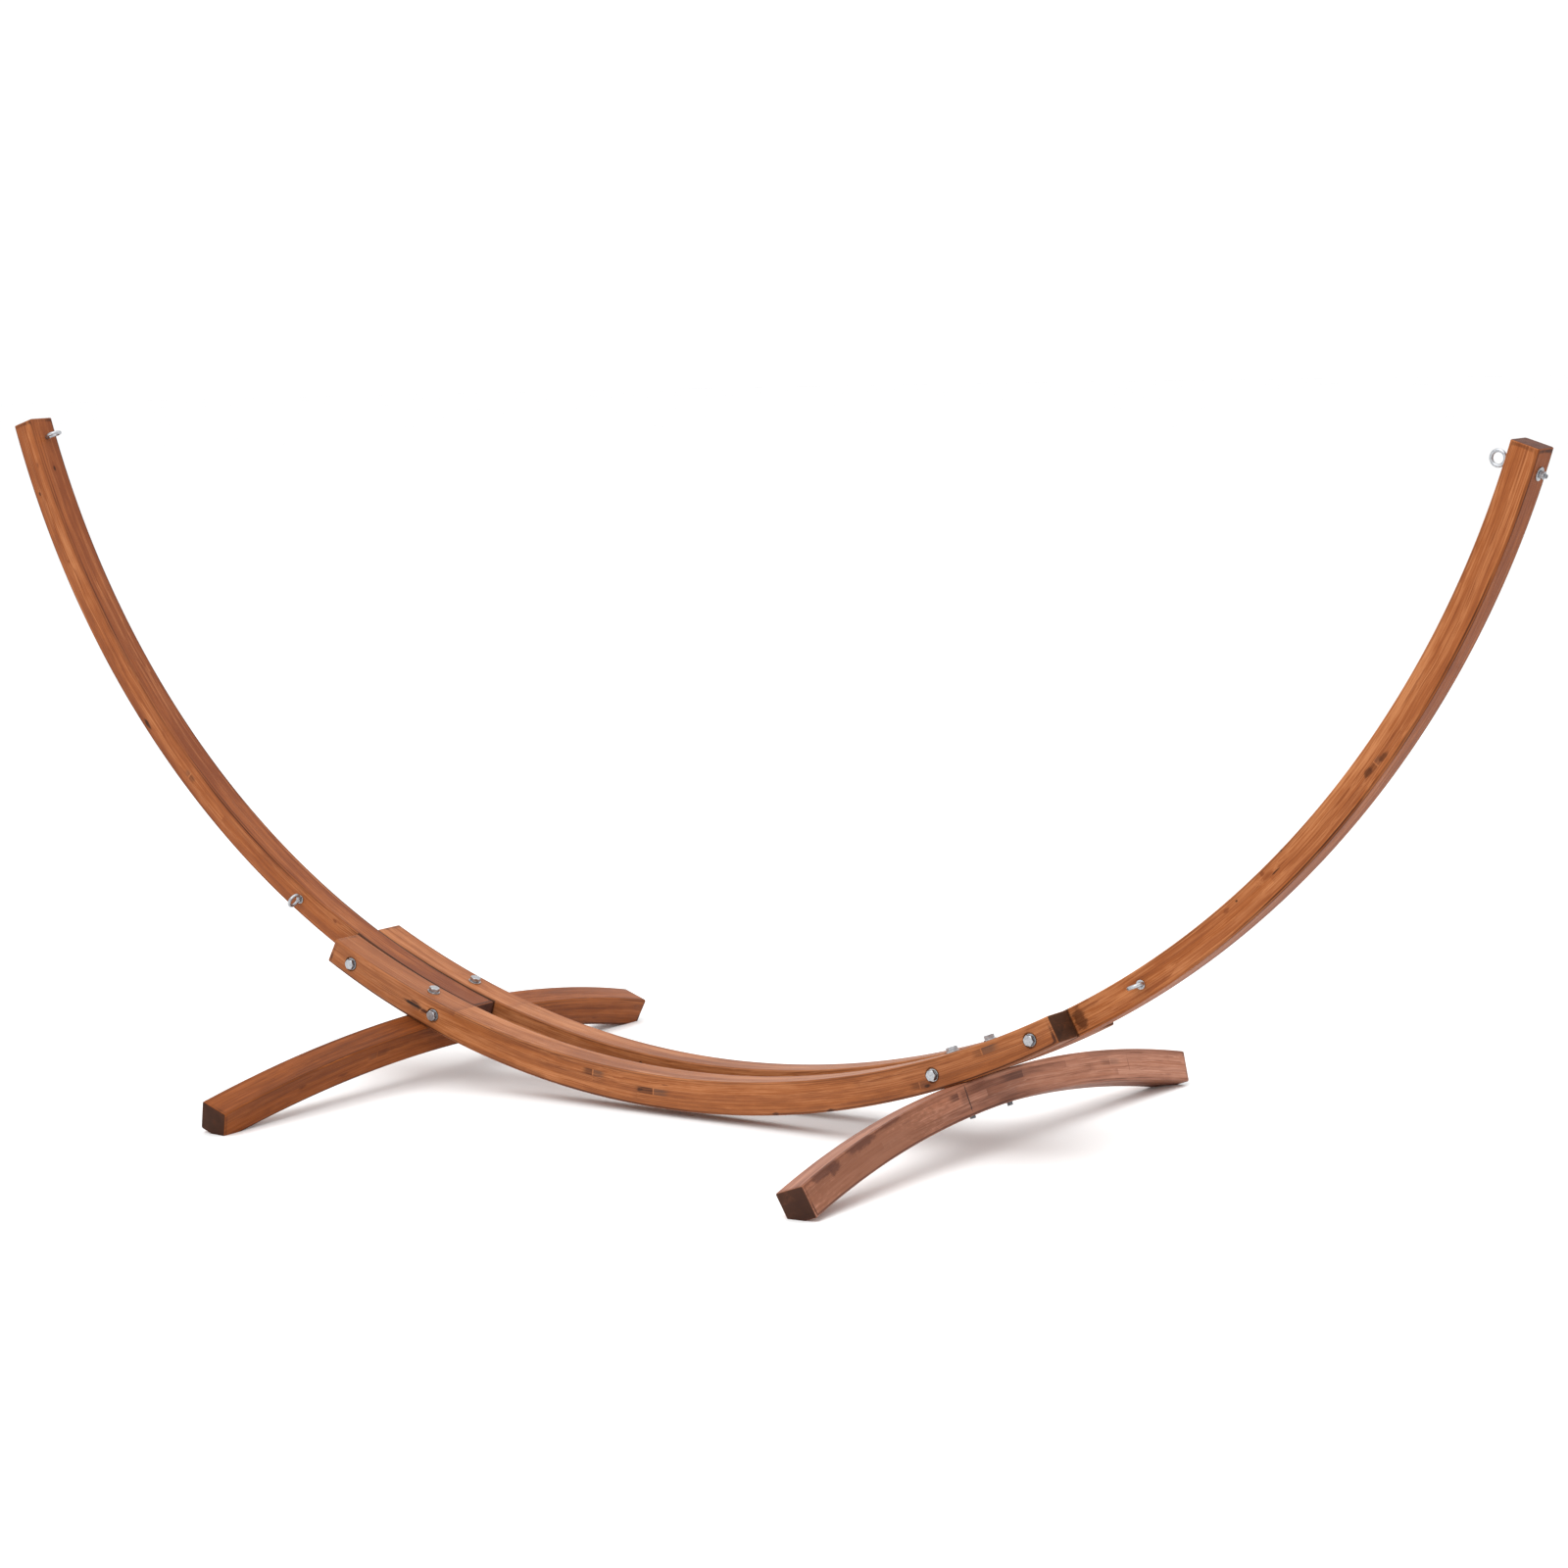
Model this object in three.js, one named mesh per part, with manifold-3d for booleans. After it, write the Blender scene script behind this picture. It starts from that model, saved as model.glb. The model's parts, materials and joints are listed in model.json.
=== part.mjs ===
// Wooden bow stand for a hammock, in millimetres: +X along the stand, -Y its front, +Z up.
// The origin lies on the floor under the middle of the stand.
//
// Two curved rails form the low middle of the bow. Each of the two arms starts between them,
// is held there by two through bolts, and rises to a tip. Two arched feet cross under the rails,
// square to the bow where they sit, so they splay outwards. An eye bolt near each tip carries
// the hammock, and a second one lower down each arm takes its spare cord or chain.
import * as THREE from 'three';
import { mergeVertices } from 'three/addons/utils/BufferGeometryUtils.js';
import Module from 'manifold-3d';

const wasm = await Module();
wasm.setup();

// ---- Driving dimensions ------------------------------------------------------------------

const gap = 0.3; // left between pieces that touch
const weldDistance = 1e-4;
const degrees = Math.PI / 180;

// Rails: their centreline is an arc about the bow's centre. Angles run from straight down.
const bowRadius = 1870;
const rail = { width: 68, midDepth: 65, endDepth: 53, endAngle: 27.3 * degrees };

// Arms: a tighter arc, which touches the rails' arc midway between the two through bolts.
const arm = {
  radius: 1795,
  width: 60,
  depth: 55,
  startAngle: 16.9 * degrees,
  tipAngle: 72.6 * degrees,
};

// Feet: an arch in the plane that is square to the bow at footAngle, flat where the rails sit.
const footAngle = 19.7 * degrees;
const foot = { radius: 2750, halfLength: 665, width: 61, depth: 62, floorCut: 12 };

// Through bolts, along Y, with their heads and nuts in shallow round recesses. The nuts under the
// feet are sunk deeper, so that only the bolts' ends show.
const throughAngles = { inner: 18.6 * degrees, outer: 25.6 * degrees };
const recess = { radius: 14.5, depth: 4, depthUnderFoot: 13 };

// Hardware of the frame (M12) and of the eye bolts (M8).
const frameThread = { radius: 6, clearance: 0.5 };
const frameHead = { acrossFlats: 19, height: 7.5 };
const frameNut = { acrossFlats: 19, height: 10 };
const frameWasher = { outerRadius: 12, thickness: 2.5 };
const throughBoltLength = 210;
const footBoltLength = 130;

const eyeThread = { radius: 4, clearance: 0.5 };
const eyeRing = { radius: 13, wireRadius: 3.5 };
const eyeNut = { acrossFlats: 13, height: 8 };
const tipWasher = { outerRadius: 12, thickness: 2 };
const lowerWasher = { outerRadius: 9, thickness: 2 };

// Eye bolts: how far the ring is turned from the arm's direction, the angle of each place on the
// arm, and how far the ring's centre stands off the wood. A lower ring is screwed down to its washer.
const ringTurn = {
  tip: { left: 90 * degrees, right: 0 },
  lower: { left: 93 * degrees, right: -10 * degrees },
};
const tipEyeAngle = 71.2 * degrees;
const lowerEyeAngle = 32.8 * degrees;
const tipStandOff = 23;
const lowerStandOff = gap + lowerWasher.thickness + gap + eyeRing.wireRadius + eyeRing.radius;
const eyeShankLength = 93; // under the ring's centre

// How finely curves are cut into facets.
const steps = { arc: 36, round: 16, ring: 24, wire: 8 };

// ---- Places worked out from them ---------------------------------------------------------

// The bow's centre is as high as puts the flats under the feet on the floor.
const railSeat = bowRadius + railDepthAt(footAngle) / 2 + gap;
const footDrop = foot.radius * (1 - Math.cos(foot.halfLength / foot.radius));
const crownCut = (rail.width + arm.width / 2 + gap) ** 2 / (2 * foot.radius);
const footTop = railSeat - crownCut;
const tipSlope = foot.halfLength / foot.radius;
const lowestReach = footTop + footDrop + foot.depth * Math.cos(tipSlope);
const cornerDrop = (foot.width / 2) * Math.sin(footAngle);
const bowHeight = lowestReach * Math.cos(footAngle) + cornerDrop - foot.floorCut;

const joinAngle = (throughAngles.inner + throughAngles.outer) / 2;
const armCentre = {
  x: (bowRadius - arm.radius) * Math.sin(joinAngle),
  z: bowHeight - (bowRadius - arm.radius) * Math.cos(joinAngle),
};
const railMiddle = arm.width / 2 + gap + rail.width / 2;
const frontFace = arm.width / 2 + gap + rail.width;

// Where the nut washers sit under a foot, below its crown.
const washerEdge = railMiddle + frameWasher.outerRadius;
const underside = foot.radius - Math.sqrt((foot.radius - foot.depth) ** 2 - washerEdge ** 2);
const footNutSeat = underside - recess.depthUnderFoot;

function railDepthAt(angle) {
  return rail.midDepth - (rail.midDepth - rail.endDepth) * (angle / rail.endAngle) ** 2;
}

// A station is a group on the bow or on an arm: X along the piece, Z towards its inner side.
function station(centreX, centreZ, radius, angle) {
  const group = new THREE.Group();
  group.position.set(centreX + radius * Math.sin(angle), 0, centreZ - radius * Math.cos(angle));
  group.rotation.y = -angle;
  group.updateMatrixWorld(true);
  return group;
}

function bowStation(angle) {
  return station(0, bowHeight, bowRadius, angle);
}

function armStation(side, angle) {
  return station(sign(side) * armCentre.x, armCentre.z, arm.radius, sign(side) * angle);
}

function sign(side) {
  return side === 'left' ? -1 : 1;
}

// ---- Solids ------------------------------------------------------------------------------

function toSolid(geometry) {
  const bare = geometry.clone();
  bare.deleteAttribute('normal');
  bare.deleteAttribute('uv');
  const welded = mergeVertices(bare, weldDistance);
  return new wasm.Manifold(new wasm.Mesh({
    numProp: 3,
    vertProperties: Float32Array.from(welded.attributes.position.array),
    triVerts: Uint32Array.from(welded.index.array),
  }));
}

function toGeometry(solid) {
  const { vertProperties, triVerts } = solid.getMesh();
  const geometry = new THREE.BufferGeometry();
  geometry.setAttribute('position', new THREE.BufferAttribute(vertProperties, 3));
  geometry.setIndex(new THREE.BufferAttribute(triVerts, 1));
  geometry.computeVertexNormals();
  return geometry;
}

function cut(geometry, cutters) {
  const solid = cutters.reduce((body, cutter) => body.subtract(toSolid(cutter)), toSolid(geometry));
  return toGeometry(solid);
}

function join(first, second) {
  return toGeometry(toSolid(first).add(toSolid(second)));
}

// A cylinder along Z from one height to another.
function rod(radius, bottom, top, sides = steps.round) {
  const geometry = new THREE.CylinderGeometry(radius, radius, top - bottom, sides);
  return geometry.rotateX(Math.PI / 2).translate(0, 0, (top + bottom) / 2);
}

function hexagon(acrossFlats, bottom, top) {
  return rod(acrossFlats / Math.sqrt(3), bottom, top, 6);
}

// The same cutter, moved to where a group stands.
function placed(geometry, group, y = 0) {
  return geometry.clone().translate(0, y, 0).applyMatrix4(group.matrixWorld);
}

// A cylinder along Y through a station.
function crossRod(radius, front, rear, group) {
  return placed(rod(radius, -rear, -front).rotateX(Math.PI / 2), group);
}

// ---- Wooden pieces -----------------------------------------------------------------------

// A beam along an arc in the XZ plane, between two angles, as wide as its depth rule says.
function arcBeam(centre, radius, fromAngle, toAngle, depthAt, width) {
  const edge = (offset) => Array.from({ length: steps.arc + 1 }, (_, i) => {
    const angle = fromAngle + ((toAngle - fromAngle) * i) / steps.arc;
    const reach = radius + (offset * depthAt(angle)) / 2;
    return new THREE.Vector2(centre.x + reach * Math.sin(angle), centre.z - reach * Math.cos(angle));
  });
  const outline = new THREE.Shape([...edge(1), ...edge(-1).reverse()]);
  const geometry = new THREE.ExtrudeGeometry(outline, { depth: width, bevelEnabled: false });
  return geometry.rotateX(Math.PI / 2).translate(0, width / 2, 0);
}

function frontRailGeometry() {
  const centre = { x: 0, z: bowHeight };
  const beam = arcBeam(centre, bowRadius, -rail.endAngle, rail.endAngle, railDepthAt, rail.width);
  beam.translate(0, -railMiddle, 0);
  const reach = rail.midDepth;
  const cutters = [-1, 1].flatMap((side) => {
    const bolts = Object.values(throughAngles).flatMap((angle) => {
      const place = bowStation(side * angle);
      const hole = crossRod(frameThread.radius + frameThread.clearance, -frontFace - gap, 0, place);
      const seat = crossRod(recess.radius, -frontFace - gap, -frontFace + recess.depth, place);
      return [hole, seat];
    });
    const footHole = rod(frameThread.radius + frameThread.clearance, -reach, reach);
    return [...bolts, placed(footHole, bowStation(side * footAngle), -railMiddle)];
  });
  return cut(beam, cutters);
}

function rightArmGeometry() {
  const centre = armCentre;
  const beam = arcBeam(centre, arm.radius, arm.startAngle, arm.tipAngle, () => arm.depth, arm.width);
  const boltHoles = Object.values(throughAngles).map((angle) => (
    crossRod(frameThread.radius + frameThread.clearance, -arm.width, arm.width, bowStation(angle))
  ));
  const eyeHoleRadius = eyeThread.radius + eyeThread.clearance;
  const lowerPlace = armStation('right', lowerEyeAngle);
  const lowerHole = crossRod(eyeHoleRadius, -arm.width, arm.width, lowerPlace);
  const tipPlace = armStation('right', tipEyeAngle);
  const tipHole = placed(rod(eyeHoleRadius, -arm.depth, arm.depth), tipPlace);
  return cut(beam, [...boltHoles, lowerHole, tipHole]);
}

// The foot in its own frame: X along it, Y towards the rails, Z along the bow; its crown at 0.
function footGeometry() {
  const span = foot.halfLength / foot.radius;
  const arcEdge = (reach) => Array.from({ length: steps.arc + 1 }, (_, i) => {
    const angle = -span + (2 * span * i) / steps.arc;
    return new THREE.Vector2(reach * Math.sin(angle), reach * Math.cos(angle) - foot.radius);
  });
  const outline = new THREE.Shape([...arcEdge(foot.radius - foot.depth), ...arcEdge(foot.radius).reverse()]);
  const arch = new THREE.ExtrudeGeometry(outline, { depth: foot.width, bevelEnabled: false });
  arch.translate(0, 0, -foot.width / 2);

  const crownBlock = new THREE.BoxGeometry(foot.halfLength, foot.depth, foot.depth * 2);
  crownBlock.translate(0, foot.depth / 2 - crownCut, 0);

  const upright = (cutter, x) => cutter.rotateX(-Math.PI / 2).translate(x, 0, 0);
  const holes = [-railMiddle, railMiddle].flatMap((x) => [
    upright(rod(frameThread.radius + frameThread.clearance, -foot.depth * 2, foot.depth), x),
    upright(rod(recess.radius, -foot.depth * 2, -footNutSeat), x),
  ]);

  // Everything under the floor comes off: the floor leans in this frame as the foot leans on it.
  const crownHeight = bowHeight - footTop * Math.cos(footAngle);
  const floorBlock = new THREE.BoxGeometry(foot.halfLength * 3, foot.depth * 2, foot.depth * 4);
  floorBlock.translate(0, -foot.depth - crownHeight, 0).rotateX(footAngle);
  return cut(arch, [crownBlock, ...holes, floorBlock]);
}

// ---- Metal pieces: each along Z, with its bearing face at 0 --------------------------------

function boltGeometry(length) {
  const shank = rod(frameThread.radius, -length, 1);
  return join(hexagon(frameHead.acrossFlats, 0, frameHead.height), shank);
}

function nutGeometry(nut, thread) {
  const bore = rod(thread.radius + gap, -1, nut.height + 1);
  return cut(hexagon(nut.acrossFlats, 0, nut.height), [bore]);
}

function washerGeometry(washer, thread) {
  const inner = thread.radius + thread.clearance;
  const corners = [[inner, 0], [washer.outerRadius, 0], [washer.outerRadius, washer.thickness],
    [inner, washer.thickness], [inner, 0]];
  const profile = corners.map(([radius, height]) => new THREE.Vector2(radius, height));
  return new THREE.LatheGeometry(profile, steps.round).rotateX(Math.PI / 2);
}

// An eye bolt: the ring's centre at 0, the shank down along -Z, the ring turned about it.
function eyeBoltGeometry() {
  const ring = new THREE.TorusGeometry(eyeRing.radius, eyeRing.wireRadius, steps.wire, steps.ring);
  const shank = rod(eyeThread.radius, -eyeShankLength, -eyeRing.radius);
  return join(ring.rotateX(Math.PI / 2), shank);
}

// ---- Assembly ----------------------------------------------------------------------------

const stand = new THREE.Group();

const wood = () => new THREE.MeshStandardMaterial({ color: 0xb26c44, roughness: 0.6, metalness: 0 });
const footWood = () => new THREE.MeshStandardMaterial({ color: 0xa06a54, roughness: 0.65, metalness: 0 });
const zinc = () => new THREE.MeshStandardMaterial({ color: 0xc8ccd0, roughness: 0.3, metalness: 1 });

function piece(parent, name, geometry, material) {
  const mesh = new THREE.Mesh(geometry, material);
  mesh.name = name;
  parent.add(mesh);
  return mesh;
}

// A group whose Z points out of the front (-Y) or rear (+Y) face, at a distance from the middle.
function faceGroup(parent, face, distance) {
  const group = new THREE.Group();
  const direction = face === 'front' ? -1 : 1;
  group.position.y = direction * distance;
  group.rotation.x = (-direction * Math.PI) / 2;
  parent.add(group);
  return group;
}

// A group whose Z points towards the inner or outer side of the bow.
function sideGroup(parent, side, distance, y = 0) {
  const group = new THREE.Group();
  const direction = side === 'inner' ? 1 : -1;
  group.position.set(0, y, direction * distance);
  group.rotation.x = direction === 1 ? 0 : Math.PI;
  parent.add(group);
  return group;
}

function addWood() {
  const turned = new THREE.Group();
  turned.rotation.z = Math.PI;
  stand.add(turned);

  const railShape = frontRailGeometry();
  piece(stand, 'front_rail', railShape, wood());
  piece(turned, 'rear_rail', railShape, wood());

  const armShape = rightArmGeometry();
  piece(stand, 'right_arm', armShape, wood());
  piece(turned, 'left_arm', armShape, wood());

  const footShape = footGeometry();
  const footPlace = { right_foot: stand, left_foot: turned };
  for (const [name, parent] of Object.entries(footPlace)) {
    const mesh = piece(parent, name, footShape, footWood());
    mesh.position.set(footTop * Math.sin(footAngle), 0, bowHeight - footTop * Math.cos(footAngle));
    const along = new THREE.Vector3(0, 1, 0);
    const up = new THREE.Vector3(-Math.sin(footAngle), 0, Math.cos(footAngle));
    const across = new THREE.Vector3().crossVectors(along, up);
    mesh.quaternion.setFromRotationMatrix(new THREE.Matrix4().makeBasis(along, up, across));
  }
}

// A bolt with a washer under its head, and a washer and a nut at its far end.
function addBolt(name, headGroup, nutGroup, length) {
  const lift = gap + frameWasher.thickness + gap;
  piece(headGroup, `${name}_head_washer`, washerGeometry(frameWasher, frameThread), zinc()).position.z = gap;
  piece(headGroup, name, boltGeometry(length), zinc()).position.z = lift;
  piece(nutGroup, `${name}_nut_washer`, washerGeometry(frameWasher, frameThread), zinc()).position.z = gap;
  piece(nutGroup, `${name}_nut`, nutGeometry(frameNut, frameThread), zinc()).position.z = lift;
}

function addThroughBolts() {
  for (const side of ['left', 'right']) {
    for (const [name, angle] of Object.entries(throughAngles)) {
      const place = bowStation(sign(side) * angle);
      stand.add(place);
      const seat = frontFace - recess.depth;
      const head = faceGroup(place, 'front', seat);
      const nut = faceGroup(place, 'rear', seat);
      addBolt(`${side}_${name}_through_bolt`, head, nut, throughBoltLength);
    }
  }
}

function addFootBolts() {
  for (const side of ['left', 'right']) {
    const place = bowStation(sign(side) * footAngle);
    stand.add(place);
    for (const [name, y] of Object.entries({ front: -railMiddle, rear: railMiddle })) {
      const head = sideGroup(place, 'inner', railDepthAt(footAngle) / 2, y);
      const nut = sideGroup(place, 'outer', footTop - bowRadius + footNutSeat, y);
      addBolt(`${side}_${name}_foot_bolt`, head, nut, footBoltLength);
    }
  }
}

function addEyeWasher(name, group, washer) {
  piece(group, `${name}_washer`, washerGeometry(washer, eyeThread), zinc()).position.z = gap;
}

function addEyeNut(name, group, washer) {
  const lift = gap + washer.thickness + gap;
  addEyeWasher(name, group, washer);
  piece(group, `${name}_nut`, nutGeometry(eyeNut, eyeThread), zinc()).position.z = lift;
}

function addEye(name, group, standOff, turn) {
  const bolt = piece(group, `${name}_bolt`, eyeBoltGeometry(), zinc());
  bolt.position.z = standOff;
  bolt.rotation.z = turn;
}

function addEyes() {
  for (const side of ['left', 'right']) {
    const tip = armStation(side, tipEyeAngle);
    stand.add(tip);
    const inner = sideGroup(tip, 'inner', arm.depth / 2);
    addEye(`${side}_tip_eye`, inner, tipStandOff, ringTurn.tip[side]);
    addEyeNut(`${side}_tip_eye`, sideGroup(tip, 'outer', arm.depth / 2), tipWasher);

    const lower = armStation(side, lowerEyeAngle);
    stand.add(lower);
    const front = faceGroup(lower, 'front', arm.width / 2);
    addEye(`${side}_lower_eye`, front, lowerStandOff, ringTurn.lower[side]);
    addEyeWasher(`${side}_lower_eye_front`, front, lowerWasher);
    addEyeNut(`${side}_lower_eye_rear`, faceGroup(lower, 'rear', arm.width / 2), lowerWasher);
  }
}

addWood();
addThroughBolts();
addFootBolts();
addEyes();

export default stand;
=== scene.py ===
"""Looks of a wooden bow stand for a hammock, in metres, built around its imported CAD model.

The CAD frame: +X along the stand, -Y its front, +Z up, with the floor at 0. Every CAD node is
stood for by one finer piece. Wooden pieces are swept along the same arcs, drilled and eased at
their edges. Metal pieces take their place and direction from the CAD nodes and joints.
"""
import json
import math
import random

import bmesh
import bpy
import numpy as np
from mathutils import Matrix, Vector


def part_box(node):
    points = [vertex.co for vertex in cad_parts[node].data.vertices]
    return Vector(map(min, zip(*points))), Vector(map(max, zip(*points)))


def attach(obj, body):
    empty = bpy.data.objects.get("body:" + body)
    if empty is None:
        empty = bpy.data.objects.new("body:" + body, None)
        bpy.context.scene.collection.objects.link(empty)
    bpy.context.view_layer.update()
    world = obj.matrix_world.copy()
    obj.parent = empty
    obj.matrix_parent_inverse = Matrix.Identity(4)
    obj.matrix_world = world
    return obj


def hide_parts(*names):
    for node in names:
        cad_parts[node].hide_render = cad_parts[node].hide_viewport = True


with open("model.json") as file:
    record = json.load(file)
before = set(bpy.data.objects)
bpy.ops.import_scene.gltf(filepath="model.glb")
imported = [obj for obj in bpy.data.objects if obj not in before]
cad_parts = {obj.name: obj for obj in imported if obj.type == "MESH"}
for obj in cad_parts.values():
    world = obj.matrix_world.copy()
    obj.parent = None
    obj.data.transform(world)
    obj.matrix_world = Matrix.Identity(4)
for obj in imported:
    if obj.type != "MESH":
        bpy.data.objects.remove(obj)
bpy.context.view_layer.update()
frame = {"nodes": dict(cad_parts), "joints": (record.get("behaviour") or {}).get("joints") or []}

MM = 0.001
X, Y, Z = Vector((1, 0, 0)), Vector((0, 1, 0)), Vector((0, 0, 1))
SIDES = {"left": -1, "right": 1}
FACES = {"front": 1, "rear": -1}

# ---- Driving dimensions: the CAD's own, in metres ----

GAP = 0.3 * MM
BOW_RADIUS = 1.870
RAIL_WIDTH = 68 * MM
RAIL_MID_DEPTH = 65 * MM
RAIL_END_DEPTH = 53 * MM
RAIL_END_ANGLE = math.radians(27.3)

ARM_RADIUS = 1.795
ARM_WIDTH = 60 * MM
ARM_DEPTH = 55 * MM
ARM_START_ANGLE = math.radians(16.9)
ARM_TIP_ANGLE = math.radians(72.6)
THROUGH_ANGLES = (math.radians(18.6), math.radians(25.6))

FOOT_ANGLE = math.radians(19.7)
FOOT_TOP_RADIUS = 2.750
FOOT_HALF_LENGTH = 0.665
FOOT_WIDTH = 61 * MM
FOOT_DEPTH = 62 * MM
FOOT_RADIUS = FOOT_TOP_RADIUS - FOOT_DEPTH / 2

BOLT_HOLE = 6.5 * MM
EYE_HOLE = 4.5 * MM
RECESS_RADIUS = 14.5 * MM
RECESS_DEPTH = 4 * MM
RECESS_RIM = 1.2 * MM

EDGE_ROUNDING = 4 * MM
END_ROUNDING = 2.2 * MM
LAMELLA = 13.2 * MM

# Metal. Threads are M12 and M8 with their standard pitches.
FRAME_THREAD = {"radius": 6 * MM, "pitch": 1.75 * MM, "depth": 0.9 * MM}
EYE_THREAD = {"radius": 4 * MM, "pitch": 1.25 * MM, "depth": 0.65 * MM}
THREAD_SHOWN = {"frame": 26 * MM, "eye": 34 * MM}
FRAME_FLATS = 19 * MM
FRAME_HEAD_HEIGHT = 7.5 * MM
EYE_FLATS = 13 * MM
HEX_AROUND = 72
HEX_CHAMFER = 0.955  # of half the flats: where the corners start to be turned off
RING_RADIUS = 13 * MM
WIRE_RADIUS = 3.5 * MM
NECK = ((4, -26), (4, -17), (4.3, -16), (5, -14.8), (4.4, -12.5))  # radius and height, millimetres

# ---- Places, worked out from the frame ----


def rail_depth(angle):
    return RAIL_MID_DEPTH - (RAIL_MID_DEPTH - RAIL_END_DEPTH) * (angle / RAIL_END_ANGLE) ** 2


bow_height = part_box("front_rail")[0].z + BOW_RADIUS + RAIL_MID_DEPTH / 2
join_angle = sum(THROUGH_ANGLES) / 2
arm_centre = Vector((
    (BOW_RADIUS - ARM_RADIUS) * math.sin(join_angle),
    0,
    bow_height - (BOW_RADIUS - ARM_RADIUS) * math.cos(join_angle),
))
rail_middle = ARM_WIDTH / 2 + GAP + RAIL_WIDTH / 2
rail_seat = BOW_RADIUS + rail_depth(FOOT_ANGLE) / 2 + GAP
crown_cut = (RAIL_WIDTH + ARM_WIDTH / 2 + GAP) ** 2 / (2 * FOOT_TOP_RADIUS)


def mesh_points(mesh):
    points = np.empty(len(mesh.vertices) * 3)
    mesh.vertices.foreach_get("co", points)
    return points.reshape(-1, 3)


def middle(node):
    low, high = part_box(node)
    return (low + high) / 2


def reach(node, point, axis):
    """How far a CAD node reaches along an axis through a point: its lowest and highest distance."""
    heights = (mesh_points(frame["nodes"][node].data) - np.array(point)) @ np.array(axis)
    return float(heights.min()), float(heights.max())


def placement(point, axis, across=None):
    """A matrix whose Z is the axis, with its origin at the point."""
    z = Vector(axis).normalized()
    if across is None:
        across = Y if abs(z.y) < 0.9 else X
    x = (across - z * across.dot(z)).normalized()
    turn = Matrix((x, z.cross(x), z)).transposed()
    return Matrix.Translation(point) @ turn.to_4x4()


# ---- Mesh helpers ----


def new_piece(name, mesh):
    piece = bpy.data.objects.new(name, mesh)
    bpy.context.scene.collection.objects.link(piece)
    return piece


def mesh_from(name, vertices, faces):
    mesh = bpy.data.meshes.new(name)
    mesh.from_pydata([tuple(v) for v in vertices], [], faces)
    mesh.validate()
    return mesh


def tube_faces(rings, around, first_cap=True, last_cap=True, closed=False):
    """Faces of a skin over rings of points, with flat caps, or closed to a loop without them."""
    faces = []
    for ring in range(rings if closed else rings - 1):
        here, there = ring * around, (ring + 1) % rings * around
        for k in range(around):
            after = (k + 1) % around
            faces.append((here + k, here + after, there + after, there + k))
    if first_cap and not closed:
        faces.append(tuple(reversed(range(around))))
    if last_cap and not closed:
        faces.append(tuple(range((rings - 1) * around, rings * around)))
    return faces


def round_ring(radius, height, around, turn=0.0):
    return [(radius * math.cos(2 * math.pi * k / around + turn),
             radius * math.sin(2 * math.pi * k / around + turn), height) for k in range(around)]


def lathe(profile, around=48, closed=False):
    """Vertices and faces of a turned shape about Z. The profile is a list of (radius, height)."""
    vertices = [v for radius, height in profile for v in round_ring(radius, height, around)]
    return vertices, tube_faces(len(profile), around, closed=closed)


def finish_mesh(mesh, sharp=math.radians(32), merge=True):
    """Consistent normals, smooth shading, and sharp edges where two faces meet at an angle."""
    work = bmesh.new()
    work.from_mesh(mesh)
    if merge:
        bmesh.ops.remove_doubles(work, verts=work.verts, dist=1e-7)
    bmesh.ops.recalc_face_normals(work, faces=work.faces)
    work.to_mesh(mesh)
    work.free()
    mesh.shade_smooth()
    mesh.set_sharp_from_angle(angle=sharp)


def apply_modifiers(piece):
    graph = bpy.context.evaluated_depsgraph_get()
    mesh = bpy.data.meshes.new_from_object(piece.evaluated_get(graph))
    old = piece.data
    piece.modifiers.clear()
    piece.data = mesh
    bpy.data.meshes.remove(old)


def cut(piece, cutters):
    """Cuts closed meshes, given as (vertices, faces, matrix), out of a piece."""
    tools = []
    for number, (vertices, faces, matrix) in enumerate(cutters):
        mesh = mesh_from(f"cutter_{number}", vertices, faces)
        mesh.transform(matrix)
        finish_mesh(mesh)
        tool = new_piece(f"cutter_{number}", mesh)
        boolean = piece.modifiers.new(f"cut_{number}", "BOOLEAN")
        boolean.operation = "DIFFERENCE"
        boolean.solver = "EXACT"
        boolean.object = tool
        tools.append(tool)
    apply_modifiers(piece)
    for tool in tools:
        bpy.data.objects.remove(tool)


def rounded(radius):
    """Steps round a corner: how far each is from the corner's first side and from its second."""
    return [(radius * (1 - math.cos(t)), radius * (1 - math.sin(t)))
            for t in np.linspace(0, math.pi / 2, 5)]


def drill(radius, length):
    return lathe([(radius, -length / 2), (radius, length / 2)], 40)


def recessed_drill(radius, length):
    """A drill for a through hole whose mouth, at height 0, has a round recess with an eased rim."""
    eased = [(RECESS_RADIUS + out, -down) for out, down in rounded(RECESS_RIM)]
    return lathe([(radius, -length), (radius, -RECESS_DEPTH), (RECESS_RADIUS, -RECESS_DEPTH),
                  *eased, (RECESS_RADIUS + RECESS_RIM, 10 * MM)], 56)


def block(low, high):
    corners = [Vector((x, y, z)) for x in (low[0], high[0]) for y in (low[1], high[1])
               for z in (low[2], high[2])]
    faces = [(0, 1, 3, 2), (4, 6, 7, 5), (0, 4, 5, 1), (2, 3, 7, 6), (0, 2, 6, 4), (1, 5, 7, 3)]
    return corners, faces


# ---- Wooden beams along an arc ----


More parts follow.
